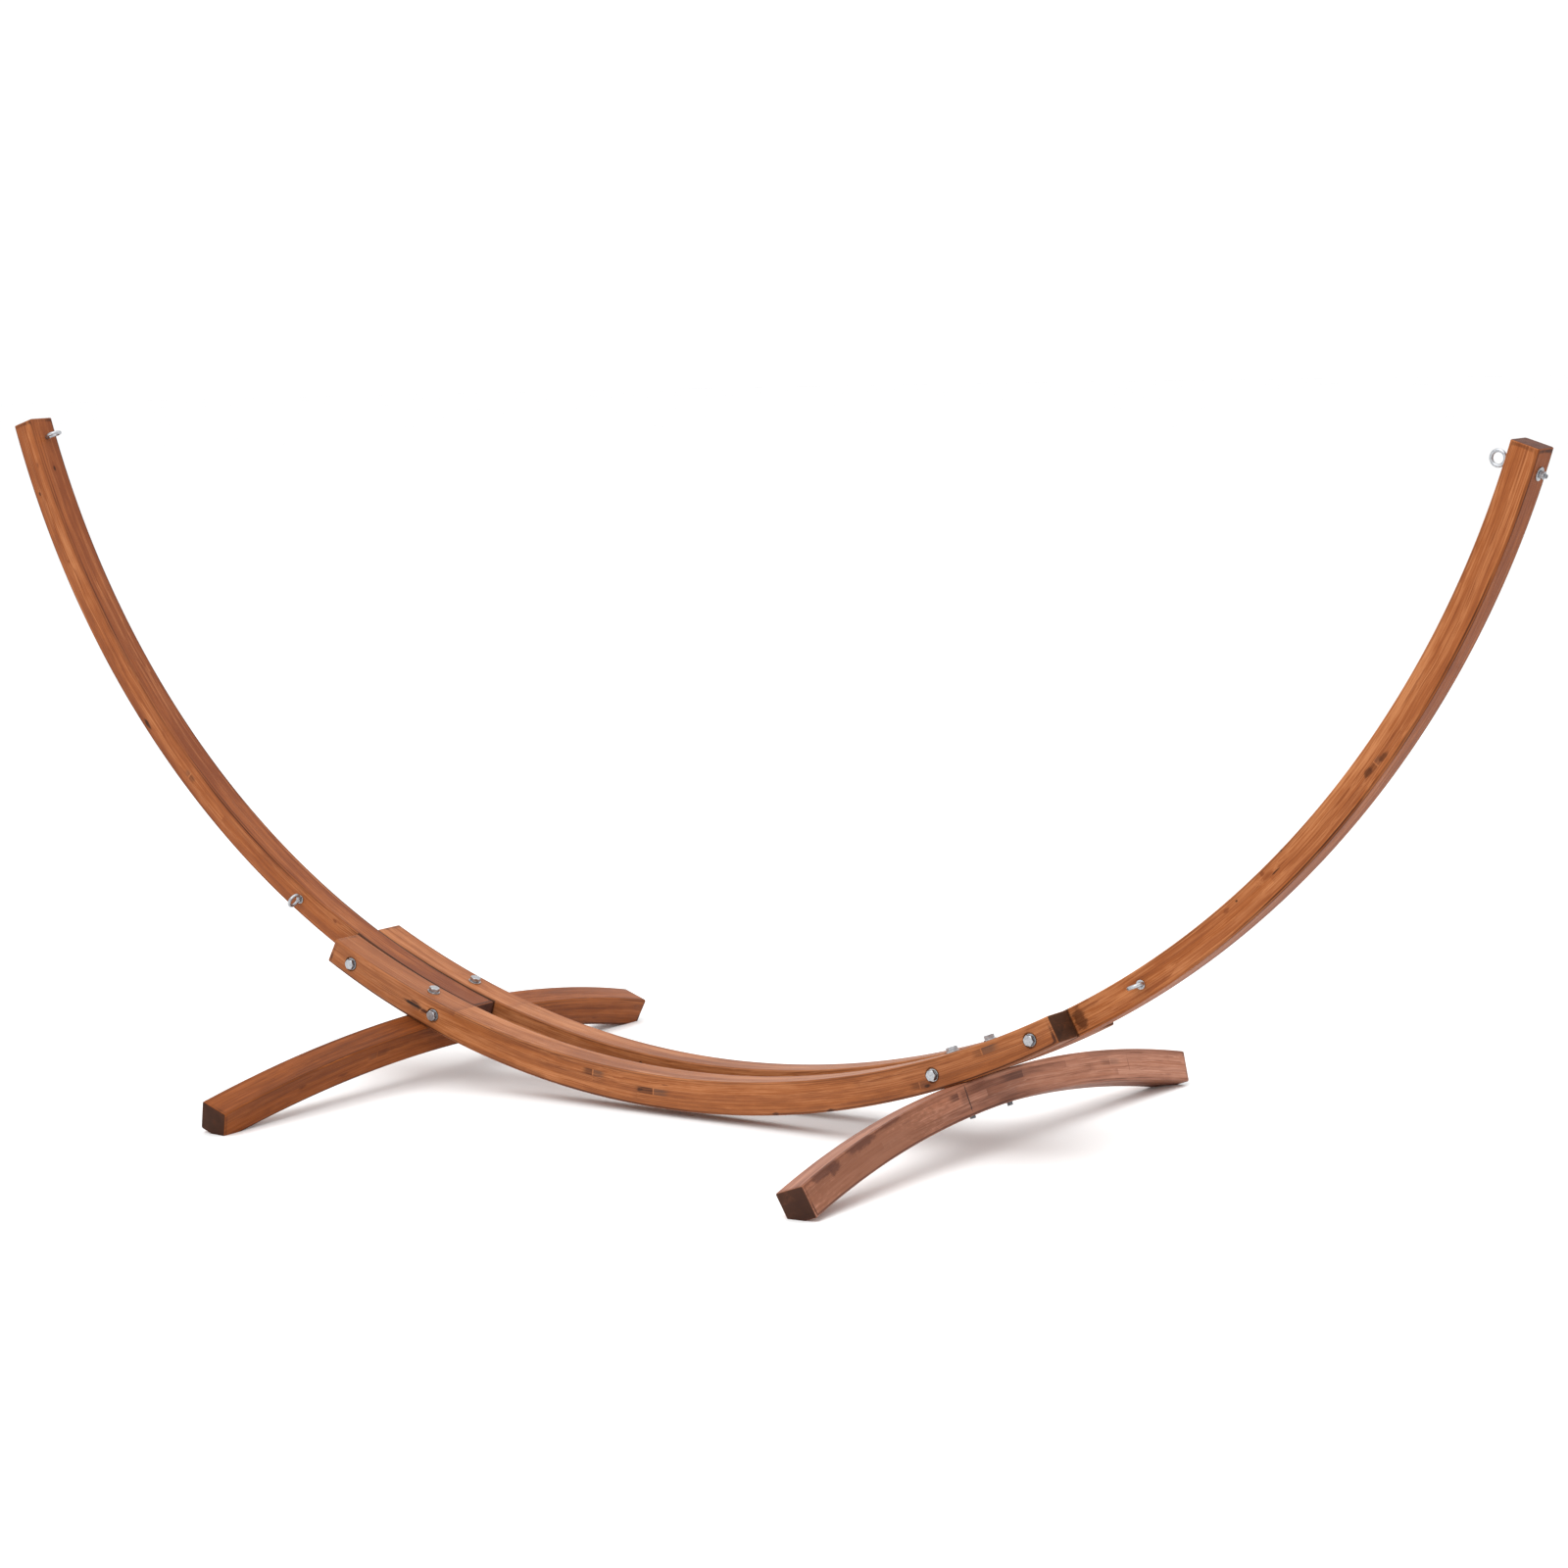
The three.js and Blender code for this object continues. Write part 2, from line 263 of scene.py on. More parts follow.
class Arc:
    """A beam's arc: angles run from the middle direction towards the first one.

    A point of the beam has an angle along it, a distance across it and a distance outwards.
    """

    def __init__(self, centre, radius, towards, outwards, across):
        self.centre, self.radius = Vector(centre), radius
        self.towards, self.outwards, self.across = towards, outwards, across

    def point(self, angle, across, out):
        direction = self.towards * math.sin(angle) + self.outwards * math.cos(angle)
        return self.centre + direction * (self.radius + out) + self.across * across

    def along(self, angle):
        return self.towards * math.cos(angle) - self.outwards * math.sin(angle)

    def coordinates(self, points):
        """Metres along, across and outwards, for an array of points."""
        local = points - np.array(self.centre)
        forward = local @ np.array(self.towards)
        outward = local @ np.array(self.outwards)
        along = np.arctan2(forward, outward) * self.radius
        return np.stack([along, local @ np.array(self.across),
                         np.hypot(forward, outward) - self.radius], -1)


def section(width, depth, rounding, corner_steps=6, beside=3 * MM):
    """A rounded rectangle, with points on its flats beside the corners and midway between them."""
    corners = ((1, 1), (-1, 1), (-1, -1), (1, -1))
    onwards = ((-1, 0), (0, -1), (1, 0), (0, 1))
    points = []
    for quarter, (corner, direction) in enumerate(zip(corners, onwards)):
        x = corner[0] * (width / 2 - rounding)
        y = corner[1] * (depth / 2 - rounding)
        for step in range(corner_steps + 1):
            angle = quarter * math.pi / 2 + step / corner_steps * math.pi / 2
            points.append((x + rounding * math.cos(angle), y + rounding * math.sin(angle)))
        end = points[-1]
        flat = (depth if quarter % 2 else width) - 2 * rounding
        for distance in (beside, flat / 2, flat - beside):
            points.append((end[0] + direction[0] * distance, end[1] + direction[1] * distance))
    return points


def beam(name, arc, span, width, depth_at, stations=150):
    """A beam swept along an arc, with rounded long edges and eased ends."""
    length = arc.radius * (span[1] - span[0])
    places = rounded(END_ROUNDING)
    places += [(d, 0) for d in np.linspace(END_ROUNDING, length - END_ROUNDING, stations)[1:-1]]
    places += [(length - distance, inset) for distance, inset in reversed(rounded(END_ROUNDING))]
    vertices = []
    for distance, inset in places:
        angle = span[0] + distance / arc.radius
        outline = section(width - 2 * inset, depth_at(angle) - 2 * inset, EDGE_ROUNDING)
        vertices += [arc.point(angle, u, v) for u, v in outline]
    mesh = mesh_from(name, vertices, tube_faces(len(places), len(outline)))
    finish_mesh(mesh)
    return new_piece(name, mesh)


def add_grain(mesh, arc, span, width, depth_at):
    """Stores each point's place in the wood, and how near it is to a long edge or to an end."""
    grain = arc.coordinates(mesh_points(mesh))
    depth = np.array([depth_at(angle) for angle in grain[:, 0] / arc.radius])
    from_side = width / 2 - np.abs(grain[:, 1])
    from_face = depth / 2 - np.abs(grain[:, 2])
    from_end = np.minimum(grain[:, 0] - span[0] * arc.radius, span[1] * arc.radius - grain[:, 0])
    second_nearest = np.sort(np.stack([from_side, from_face, from_end], -1), -1)[:, 1]
    edge = np.clip(1 - second_nearest / (2 * EDGE_ROUNDING), 0, 1)
    place = mesh.attributes.new("grain", "FLOAT_VECTOR", "POINT")
    place.data.foreach_set("vector", grain.astype(np.float32).ravel())
    wear = mesh.attributes.new("edge", "FLOAT", "POINT")
    wear.data.foreach_set("value", edge.astype(np.float32))


def paint_wood(mesh, arc, face_material, end_material, across_grain=0.8):
    """The beam's own faces in one material, and those that are cut across the grain in another."""
    mesh.materials.clear()
    mesh.materials.append(face_material)
    mesh.materials.append(end_material)
    for face in mesh.polygons:
        angle = arc.coordinates(np.array([face.center]))[0][0] / arc.radius
        along_grain = abs(face.normal.dot(arc.along(angle)))
        face.material_index = 1 if along_grain > across_grain else 0


def wooden(node, arc, span, width, depth_at, cutters, ends, seam=None):
    piece = beam(f"{node}_wood", arc, span, width, depth_at)
    cut(piece, cutters)
    finish_mesh(piece.data)
    add_grain(piece.data, arc, span, width, depth_at)
    paint_wood(piece.data, arc, wood_material(node, arc.radius, width, seam), ends)
    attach(piece, "frame")
    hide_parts(node)


# ---- Shader helpers ----


class Value:
    """An output in a material's tree. Sums with numbers, tuples and other values add nodes to it."""

    def __init__(self, shader, socket):
        self.shader, self.socket = shader, socket

    def math(self, operation, *others):
        vectors = self.socket.type in ("VECTOR", "RGBA")
        kind = "ShaderNodeVectorMath" if vectors else "ShaderNodeMath"
        return self.shader.node(kind, enumerate((self, *others)), operation=operation)

    def __add__(self, other):
        return self.math("ADD", other)

    def __sub__(self, other):
        return self.math("SUBTRACT", other)

    def __mul__(self, other):
        return self.math("MULTIPLY", other)

    def __truediv__(self, other):
        return self.math("DIVIDE", other)

    def __abs__(self):
        return self.math("ABSOLUTE")

    def sibling(self, output):
        """Another output of the same node."""
        return Value(self.shader, self.socket.node.outputs[output])

    def split(self):
        x = self.shader.node("ShaderNodeSeparateXYZ", {0: self})
        return x, x.sibling(1), x.sibling(2)

    def length(self):
        return self.math("LENGTH").sibling("Value")

    def scaled(self, factor):
        values = {0: self, "Scale": factor}
        return self.shader.node("ShaderNodeVectorMath", values, operation="SCALE")

    def noise(self, detail, roughness=0.55, scale=1.0):
        """The factor. Its sibling 1 is the colour."""
        values = {"Vector": self, "Scale": scale, "Detail": detail, "Roughness": roughness}
        return self.shader.node("ShaderNodeTexNoise", values)

    def random(self):
        """The value. Its sibling 1 is the colour."""
        return self.shader.node("ShaderNodeTexWhiteNoise", {"Vector": self}, noise_dimensions="3D")

    def smooth(self, low, high, to_low=0.0, to_high=1.0):
        values = {"Value": self, "From Min": low, "From Max": high, "To Min": to_low,
                  "To Max": to_high}
        return self.shader.node("ShaderNodeMapRange", values, interpolation_type="SMOOTHSTEP")

    def ramp(self, *stops):
        colour = self.shader.node("ShaderNodeValToRGB", {0: self})
        elements = colour.socket.node.color_ramp.elements
        while len(elements) < len(stops):
            elements.new(0.5)
        for element, (position, stop_colour) in zip(elements, stops):
            element.position = position
            element.color = (*stop_colour, 1.0)
        return colour

    def bump(self, strength, distance):
        values = {"Height": self, "Strength": strength, "Distance": distance}
        return self.shader.node("ShaderNodeBump", values)


class Shader:
    """A material, and the ways to add nodes to its tree that don't start from a value."""

    def __init__(self, name):
        self.material = bpy.data.materials.new(name)
        self.material.use_nodes = True
        self.tree = self.material.node_tree

    def node(self, kind, inputs=(), output=0, **settings):
        """Adds a node and returns one of its outputs."""
        node = self.tree.nodes.new(kind)
        for key, value in settings.items():
            setattr(node, key, value)
        for key, value in dict(inputs).items():
            self.set(node.inputs[key], value)
        return Value(self, node.outputs[output])

    def set(self, socket, value):
        if isinstance(value, Value):
            self.tree.links.new(value.socket, socket)
        elif socket.type == "RGBA":
            socket.default_value = (*value, 1.0)
        elif socket.type == "VECTOR" and isinstance(value, float):
            socket.default_value = (value, value, value)
        else:
            socket.default_value = value

    def attribute(self, name, output="Fac"):
        return self.node("ShaderNodeAttribute", output=output, attribute_name=name)

    def object_place(self):
        return self.node("ShaderNodeTexCoord", output="Object")

    def combine(self, x, y, z):
        return self.node("ShaderNodeCombineXYZ", {0: x, 1: y, 2: z})

    def mix(self, factor, first, second):
        return self.node("ShaderNodeMix", {0: factor, 6: first, 7: second}, 2, data_type="RGBA")

    def finish(self, colour, roughness, normal, others):
        """Sets the surface's own inputs and returns the material."""
        values = {"Base Color": colour, "Roughness": roughness, "Normal": normal, **others}
        for name, value in values.items():
            if value is not None:
                self.set(self.tree.nodes["Principled BSDF"].inputs[name], value)
        return self.material


# ---- Looks of the wood ----

# Linear colours of the stain: where it takes least, as a rule and most, where it gathers, knots,
# the grey side of a finger joint, a patch of its own and sawn ends. Then how much boards differ
# and how long they are.
# The soaked colour also paints shade beside long edges, and the burnt one paints shade in the joints.
STAINS = {
    "bow": dict(pale=(0.425, 0.168, 0.066), main=(0.262, 0.082, 0.023), deep=(0.124, 0.034, 0.011),
                soaked=(0.052, 0.015, 0.006), burnt=(0.022, 0.009, 0.005),
                grey=(0.088, 0.043, 0.027), cut=(0.046, 0.018, 0.009),
                board_tone=0.20, board_length=1.1),
    # The two feet are one wood: the left foot's colours are a darker copy of the right foot's, painted
    # shade.
    "left_foot": dict(pale=(0.265, 0.076, 0.018), main=(0.160, 0.038, 0.006),
                      deep=(0.074, 0.016, 0.003), soaked=(0.042, 0.012, 0.005),
                      burnt=(0.020, 0.008, 0.004), grey=(0.070, 0.032, 0.019),
                      cut=(0.034, 0.013, 0.007), board_tone=0.45, board_length=0.6),
    "right_foot": dict(pale=(0.460, 0.225, 0.148), main=(0.318, 0.130, 0.077),
                       deep=(0.140, 0.045, 0.023), soaked=(0.080, 0.024, 0.013),
                       burnt=(0.026, 0.010, 0.007), grey=(0.160, 0.078, 0.052),
                       warm=(0.190, 0.069, 0.034), cut=(0.036, 0.014, 0.008),
                       board_tone=0.55, board_length=0.36),
}
STAINS["arm"] = dict(STAINS["bow"], main=(0.268, 0.079, 0.022), deep=(0.146, 0.036, 0.011))
ARM_ENDS = dict(STAINS["bow"], cut=(0.105, 0.046, 0.034), burnt=(0.050, 0.021, 0.015))
LEANINGS = {"orange": (0.340, 0.092, 0.018), "pink": (0.230, 0.092, 0.050)}

# How each piece took its stain as a whole. On its outer side and its inner side, painted shade, and
# painted light where these are negative. The dark line beside its long edges is gathered stain,
# with painted shade that is strongest on its outer (1) or its inner (-1) side.
PLAIN_LOOK = dict(depth=0.0, outer_painted_shade=0.0, inner_painted_shade=0.0, gloss=0.16, shaded_side=1.0)
LOOKS = {
    "front_rail": dict(stain="bow", seed=1.0, depth=0.06),
    "rear_rail": dict(stain="bow", seed=2.0, depth=0.06),
    # The arms carry painted shade: on the left arm's inner face and on the right arm's underside.
    "left_arm": dict(stain="arm", seed=3.0, depth=0.14, outer_painted_shade=-0.12, inner_painted_shade=0.34,
                     gloss=0.12, shaded_side=-1.0),
    "right_arm": dict(stain="arm", seed=4.0, depth=-0.06, outer_painted_shade=0.34, gloss=0.07),
    "left_foot": dict(stain="left_foot", seed=5.0, gloss=0.08, shaded_side=-1.0),
    "right_foot": dict(stain="right_foot", seed=6.0, shaded_side=-1.0),
}

# Marks of each piece's own, by the side that they are on: knots, cracks, stains, dark patches, finger
# joints, and a pale line that is a painted highlight.
# A spot has its degrees along the arc, its millimetres outwards, its size in millimetres along,
# across and outwards, its strength and its colour.
# A finger joint has its degrees and its millimetres outwards, the strength and reach of the
# soaked side and of the grey one, the strength of the pale gap between them, and its slant.
MARKS = {
    "front_rail": [(-1, [
        (-20.25, -1.0, (30, 7, 5.0), 1.0, "burnt"),
        (-19.15, 0.5, (19, 7, 4.4), 0.95, "soaked"),
        (-20.1, -7.0, (15, 7, 2.6), 0.8, "soaked"),
        (-2.45, 1.0, (9, 4, 4.0), 0.7, "burnt"),
        (-0.55, -15, (14, 4, 2.2), 0.7, "deep"),
        (11.2, 29, (14, 5, 4), 0.85, "burnt"),
        (7.3, 29, (9, 5, 5), 0.75, "burnt"),
        (14.0, 20, (90, 5, 4), 0.5, "deep"),
        (-13.0, 24, (160, 5, 5), 0.5, "deep"),
        (-19.0, 26, (60, 5, 4), 0.6, "deep"),
    ], [
        (-19.55, 1.0, (0.6, 34), (0.4, 14), 0.35, 0.5),
        (-5.98, -12.5, (0.95, 30), (0.90, 34), 0.4, 0),
        (-1.44, 0.8, (1.0, 52), (0.85, 44), 0.4, 0),
        (17.6, 12.0, (0.45, 26), (0.35, 20), 0.2, 0),
        (22.3, -13.2, (0.5, 26), (1.0, 46), 0.1, 0),
    ])],
    "rear_rail": [(1, [
        (-12.0, -20, (60, 5, 3), 0.6, "deep"),
        (5.4, -12.0, (6, 5, 4), 0.85, "burnt"),
    ], []), (-1, [
        (15.0, 8, (30, 5, 5), 0.5, "deep"),
    ], [
        (-8.5, 0, (0.7, 40), (0.6, 30), 0.4, 0),
    ])],
    "right_arm": [(-1, [
        # A soft dark patch on the front face just past the front rail's end, painted darker there.
        (28.1, 0, (18, 5, 30), 0.75, "soaked"),
        (41.0, -16, (4, 4, 3), 0.85, "burnt"),
        (44.15, -6.0, (12, 4, 1.8), 0.85, "burnt"),
        (40.1, -15.7, (9, 5, 5), 0.65, "deep"),
        (43.35, -20, (7, 5, 5), 0.65, "deep"),
        (45.2, -26.5, (4, 5, 3), 0.95, "burnt"),
        (52.3, 5, (14, 4, 7), 0.75, "soaked"),
        (53.6, 11, (15, 4, 6), 0.7, "soaked"),
        (58.0, -10, (60, 4, 2.5), 0.45, "deep"),
        (33.8, 16, (40, 4, 5), 0.5, "deep"),
        (29.0, -14, (36, 4, 4), 0.6, "deep"),
    ], [
        (53.0, 7, (0.5, 24), (0.5, 20), 0.3, 0),
    ])],
    "left_arm": [(1, [
        (67.6, 12, (5, 4, 3), 0.85, "burnt"),
        (69.4, -8, (9, 4, 4), 0.6, "deep"),
        (49.9, 15, (17, 4, 5), 0.85, "burnt"),
        (50.6, 19, (22, 4, 4), 0.6, "deep"),
        (61.0, -4, (40, 4, 2.5), 0.5, "deep"),
        (62.5, 2, (5, 4, 3), 0.6, "deep"),
        (36.5, -12, (30, 4, 3), 0.5, "deep"),
        (29.6, -15, (8, 4, 5), 0.75, "deep"),
    ], [
        (45.0, 0, (0.5, 22), (0.4, 18), 0.3, 0),
    ])],
    "right_foot": [(1, [
        (-9.5, -8, (330, 9, 70), 0.80, "warm"),
        (-12.35, 26, (56, 7, 15), 0.80, "soaked"),
        (-11.7, 20, (24, 7, 15), 0.80, "soaked"),
        (-9.6, 26, (64, 7, 14), 0.80, "soaked"),
        (-7.6, 28, (50, 7, 7), 0.6, "soaked"),
        (-2.2, 2, (2.6, 5, 36), 0.95, "burnt"),
        (9.5, 0, (2.0, 5, 22), 0.5, "deep"),
        (-6.5, 14, (20, 5, 3), 0.5, "deep"),
    ], [
        (-2.75, 13.2, (1.0, 40), (0.2, 30), 0.1, 0),
        (-2.2, 0.0, (0.55, 30), (0.3, 30), 0.1, 0),
        (1.9, 13.2, (0.70, 90), (0.1, 20), 0.1, 0),
        (8.2, 6.6, (0.40, 40), (0.4, 40), 0.2, 0),
        (-8.0, -6.0, (0.45, 60), (0.3, 40), 0.2, 0),
    ])],
    "left_foot": [(-1, [
        (7.0, -10, (20, 5, 5), 0.6, "deep"),
        (9.4, 4, (12, 5, 4), 0.6, "deep"),
        (4.0, 8, (70, 5, 5), 0.4, "deep"),
        # A pale line just under the top edge, 75 mm long: a painted highlight.
        (7.6, 30, (75, 3, 2.5), 0.8, "pale"),
    ], [
        (5.0, 6.6, (0.5, 40), (0.4, 30), 0.3, 0),
    ])],
}

# Noise in the wood: its scale along the grain and across it, its detail and its roughness.
WOOD_NOISE = {
    "sway": (3.5, 9.0, 2.0, 0.55),
    "clouds": (2.2, 30.0, 4.0, 0.55),
    "patches": (14.0, 60.0, 4.0, 0.60),
    "streaks": (2.6, 170.0, 5.0, 0.62),
    "fine": (9.0, 520.0, 3.0, 0.60),
    "fibres": (90.0, 2600.0, 2.0, 0.60),
    "contours": (1.0, 250.0, 1.0, 0.55),
    "bundles": (1.6, 42.0, 2.0, 0.55),
    "ragged": (60.0, 160.0, 3.0, 0.55),
}
SWAY = 16 * MM
RING_SPACING = {"board": 3.4 * MM, "end": 3.1 * MM}
KNOT_GRID = (13.0, 27.0, 27.0)  # cells per metre along the grain, across it and outwards
KNOTS_FROM = 0.91  # of the cells' random draws
END_SEED = 2.0


def wood_noise(place, kind):
    along, across, detail, roughness = WOOD_NOISE[kind]
    return (place * (along, across, across)).noise(detail, roughness)


def layer_of(out):
    """The number of the layer that a point lies in, and how near it is to that layer's glue line."""
    position = out / LAMELLA + 0.5
    from_middle = abs(position.math("FRACT") - 0.5)
    return position.math("FLOOR"), from_middle.smooth(0.45, 0.495)


def board_of(shader, along, layer, seed, length):
    """The number of the board that a point lies in, and how far it is from the board's ends."""
    shift = shader.combine(layer, seed, 3.7).random() * 5.0
    position = along / length + shift
    return position.math("FLOOR"), position.math("PINGPONG", 0.5) * length


def knots(shader, own):
    """Small knots, one in a few cells of a grid: each knot, its halo, and how it bends the grain."""
    in_grid = own * KNOT_GRID
    distance = shader.node("ShaderNodeTexVoronoi", {"Vector": in_grid, "Scale": 1.0})
    draw, size_draw, _ = distance.sibling("Color").split()
    chosen = draw.smooth(KNOTS_FROM - 0.005, KNOTS_FROM + 0.005)
    nearness = distance / (size_draw * 0.07 + 0.035)
    knot = nearness.smooth(0.5, 1.1, 1.0, 0.0) * chosen
    halo = nearness.smooth(0.9, 3.0, 0.5, 0.0) * chosen
    pull = nearness.smooth(0.6, 5.0, 0.6, 0.0) * chosen
    towards = (in_grid - distance.sibling("Position")).scaled(pull)
    return knot, halo, towards * (0.0, -1 / KNOT_GRID[1], -1 / KNOT_GRID[2])


def late_wood_at(radius, spacing, begins):
    """The dark part of each growth ring: it deepens slowly and ends sharply."""
    ring = (radius / spacing).math("FRACT")
    return ring.smooth(begins, 0.90) * ring.smooth(0.90, 1.0, 1.0, 0.0)


class Wood:
    """The grain of a piece: everything that its colour and its relief are made from."""

    def __init__(self, name, seed, colours):
        self.shader = shader = Shader(name)
        self.colours = {**colours, **LEANINGS}
        self.base = None
        self.place = shader.attribute("grain", "Vector")
        along, _, self.out = self.place.split()
        layer, self.glue = layer_of(self.out)
        length = colours["board_length"]
        number, self.from_board_end = board_of(shader, along, layer, seed, length)
        board = shader.combine(number, layer, seed)
        self.tone = board.random()
        self.hue = (board + (11.3, 5.1, 7.7)).random()
        board_shift = board.random().sibling(1) * 40.0
        own = self.place + (seed * 3.1, seed * 1.7, seed * 2.3)

        # The grain sways a little along the whole piece, and bends round the knots.
        self.knot, self.halo, drawn_in = knots(shader, own)
        sway = (wood_noise(own, "sway").sibling(1) - 0.5) * (0.0, SWAY, SWAY)
        bend = drawn_in + sway
        bent = own + bend
        self.late_wood = self.growth_rings(self.place + bend)

        self.clouds = wood_noise(own, "clouds")
        self.patches = wood_noise(own, "patches")
        self.streaks = wood_noise(bent, "streaks")
        self.fine = wood_noise(bent + board_shift, "fine")
        self.fibres = wood_noise(own, "fibres")
        self.contours = wood_noise(bent, "contours")
        self.bundles = wood_noise(own, "bundles")

    def paint(self, amount, colour):
        """Mixes one of the piece's colours over what is there."""
        self.base = self.shader.mix(amount, self.base, self.colours[colour])

    def growth_rings(self, place):
        """Bands in the distance from a pith that lies outside the board."""
        along, across, out = place.split()
        from_pith = self.shader.combine(across - (self.tone * 0.08 - 0.04),
                                        out + (self.hue * 0.03 + 0.045), 0.0)
        radius = from_pith.length() + along * (self.hue * 0.06 - 0.03)
        return late_wood_at(radius, RING_SPACING["board"], 0.35)


def stain(wood, look):
    """The colour by how deeply the stain took: 0 is pale and 1 is deep, with painted shade added on
    whole faces. Boards lean to a hue.
    """
    parts = ((wood.clouds, 1.6), (wood.patches, 0.8), (wood.streaks, 1.05), (wood.fine, 0.8),
             (wood.tone, wood.colours["board_tone"]))
    taken = wood.late_wood * 0.16 + (0.40 + look["depth"] - sum(gain for _, gain in parts) / 2)
    # Painted shade: outer and inner faces darker where less light falls; negative amounts paint them
    # lighter.
    half, outer = ARM_DEPTH / 2, look["outer_painted_shade"]
    taken = taken + wood.out.smooth(-half, half, -0.3 * outer, 0.4 * outer)
    taken = taken + wood.out.smooth(half - 4 * MM, half - 1 * MM, 0.0, outer)
    taken = taken + wood.out.smooth(1 * MM - half, 4 * MM - half, look["inner_painted_shade"], 0.0)
    for value, gain in parts:
        taken = value * gain + taken
    stops = ((0.0, "pale"), (0.45, "main"), (1.0, "deep"))
    wood.base = taken.ramp(*((position, wood.colours[name]) for position, name in stops))
    wood.paint(wood.hue * 0.18, "orange")
    wood.paint(wood.tone * 0.14, "pink")


def add_contour_lines(wood):
    """Bundles of thin lines, pale beside dark, where the plane has opened the grain."""
    bundle = wood.bundles.smooth(0.47, 0.57)
    for level, colour, amount in ((0.50, "pale", 0.5), (0.44, "deep", 0.4), (0.57, "pale", 0.4)):
        wood.paint(abs(wood.contours - level).smooth(0.008, 0.040, amount, 0.0) * bundle, colour)


def add_boards_and_knots(wood):
    """Some boards' ends soak up stain. Glue lines are thin and dark, in broken stretches."""
    soaked = wood.from_board_end.smooth(2 * MM, 20 * MM, 0.25, 0.0) * wood.hue.smooth(0.5, 0.8)
    wood.paint(soaked, "deep")
    wood.paint(wood.glue * wood.patches.smooth(0.42, 0.60, 0.08, 0.50), "deep")
    wood.paint(wood.halo, "deep")
    wood.paint(wood.knot * 0.85, "burnt")


def add_finger_joints(wood, joints):
    """The stain soaks into the board's end on one side of a joint, and dries grey on the other."""
    drawn_out = wood.streaks.smooth(0.35, 0.65, 0.55, 1.0)
    for at, soaked, grey, gap, slant in joints:
        along, across, out = (wood.place - at).split()
        along = out * slant + along
        in_layer = abs(out).smooth(0.43 * LAMELLA, 0.52 * LAMELLA, 1.0, 0.0)
        here = in_layer * abs(across).smooth(4 * MM, 6 * MM, 1.0, 0.0)
        for way, colour, (strength, length) in ((-1, "soaked", soaked), (1, "grey", grey)):
            distance = along * way
            begins = distance.smooth(0.9 * MM, 1.9 * MM)
            fades = distance.smooth(0.45 * length, length, strength, 0.0)
            wood.paint(begins * fades * here * drawn_out, colour)
        wood.paint(abs(along).smooth(0.8 * MM, 1.7 * MM, gap, 0.0) * here, "pale")


def add_spots(wood, spots):
    """Soft spots with ragged outlines."""
    wobble = (wood_noise(wood.place, "ragged").sibling(1) - 0.5) * 1.3
    for at, size, strength, colour in spots:
        distance = ((wood.place - at) / size + wobble).length()
        wood.paint(distance.smooth(0.45, 1.0, strength, 0.0), colour)


def add_edges(wood, shaded_side):
    """Along long edges a broken dark line: gathered stain, and painted shade that is strongest on the
    shaded side. The very edge is painted paler in patches.
    """
    edge = wood.shader.attribute("edge")
    beside = edge.smooth(0.30, 0.50) * edge.smooth(0.62, 0.85, 1.0, 0.0)
    # Gathered stain with painted shade: half strength on one side, full strength on the shaded side.
    stain_and_shade_line = beside * wood.clouds.smooth(0.36, 0.56, 0.15, 0.95)
    wood.paint(stain_and_shade_line * (wood.out * shaded_side).smooth(0.0, 10 * MM, 0.5, 1.0), "soaked")
    wood.paint(edge.smooth(0.72, 1.0) * wood.patches.smooth(0.45, 0.65, 0.05, 0.40), "pale")


def add_seam(wood, side, both_sides, width, start, end):
    """Shade and dirt in the joint where an arm is clamped between the rails."""
    along, across, _ = wood.place.split()
    if both_sides:
        across = abs(across)
    beside = across.smooth(side - width, side - width / 2, 0.0, 0.8)
    begun = abs(along).smooth(start - 4 * MM, start)
    lasting = abs(along).smooth(end, end + 4 * MM, 1.0, 0.0)
    wood.paint(beside * begun * lasting, "burnt")


def marks_of(piece, radius, width):
    """The piece's own spots and finger joints, in metres."""
    def place(side, degrees, out):
        return radius * math.radians(degrees), side * width / 2, out * MM

    spots, joints = [], []
    for side, side_spots, side_joints in MARKS[piece]:
        for degrees, out, size, strength, colour in side_spots:
            at = place(side, degrees, out)
            spots.append((at, tuple(s * MM for s in size), strength, colour))
        for degrees, out, soaked, grey, gap, slant in side_joints:
            stains = [(strength, length * MM) for strength, length in (soaked, grey)]
            joints.append((place(side, degrees, out), *stains, gap, slant))
    return spots, joints


def wood_material(piece, radius, width, seam=None):
    """Stained softwood, laminated in thin layers whose boards are finger-jointed end to end."""
    look = {**PLAIN_LOOK, **LOOKS[piece]}
    spots, joints = marks_of(piece, radius, width)
    wood = Wood(f"{piece}_wood", look["seed"], STAINS[look["stain"]])
    stain(wood, look)
    add_contour_lines(wood)
    add_boards_and_knots(wood)
    add_finger_joints(wood, joints)
    add_spots(wood, spots)
    add_edges(wood, look["shaded_side"])
    if seam is not None:
        add_seam(wood, **seam)
    roughness = wood.knot * 0.15 + (wood.streaks * 0.25 + 0.33)
    relief = wood.late_wood * 0.35 + wood.fine
    for value, gain in ((wood.fibres, 0.4), (wood.glue, -0.5), (wood.knot, -0.8)):
        relief = value * gain + relief
    normal = relief.bump(0.40, 0.5 * MM)
    return wood.shader.finish(wood.base, roughness, normal, {"Specular IOR Level": look["gloss"]})


